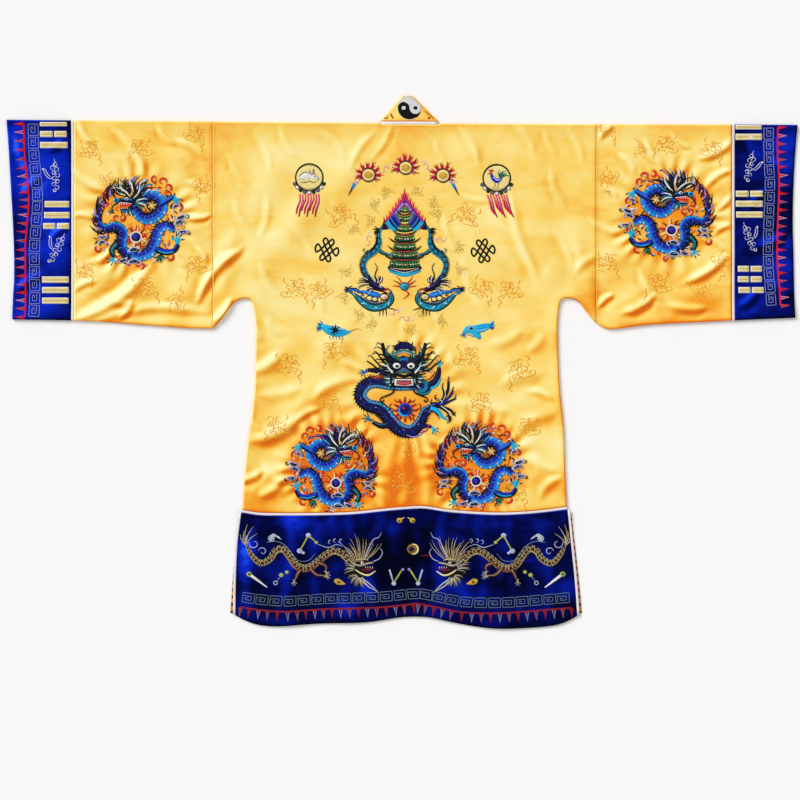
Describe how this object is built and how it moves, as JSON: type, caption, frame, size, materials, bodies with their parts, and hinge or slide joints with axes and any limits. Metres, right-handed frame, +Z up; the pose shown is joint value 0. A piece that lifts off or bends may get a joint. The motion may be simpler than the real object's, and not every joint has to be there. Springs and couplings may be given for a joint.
{
  "type": "taoist robe",
  "caption": "Wide-sleeved ceremonial satin robe laid flat with its back uppermost, with banded cuffs, a banded hem and a neckband folded at the top.",
  "frame": {"origin": "middle of the outline on the surface that the robe lies on", "axes": "+Y from the hem to the collar, +Z up from the surface, +X across to the right sleeve as seen from above the back"},
  "size_m": [1.8006, 1.2148, 0.0108],
  "materials": {
    "satin": "golden yellow satin with a soft sheen",
    "blue_satin": "royal blue satin with a soft sheen",
    "piping": "white corded piping",
    "edging": "orange woven edging with dark dashes"
  },
  "bodies": {
    "root": {"back": "satin", "collar": "satin", "front_left": "satin", "front_right": "satin", "sleeve_left": "satin", "sleeve_right": "satin", "cuff_left": "blue_satin", "cuff_right": "blue_satin", "hem_band_back": "blue_satin", "hem_band_front_left": "blue_satin", "hem_band_front_right": "blue_satin", "neck_piping": "piping", "cuff_piping_left": "piping", "cuff_piping_right": "piping", "hem_piping_back": "piping", "hem_piping_front_left": "piping", "hem_piping_front_right": "piping", "vent_piping_left": "piping", "vent_piping_right": "piping", "vent_edging_left": "edging", "vent_edging_right": "edging"}
  },
  "joints": []
}
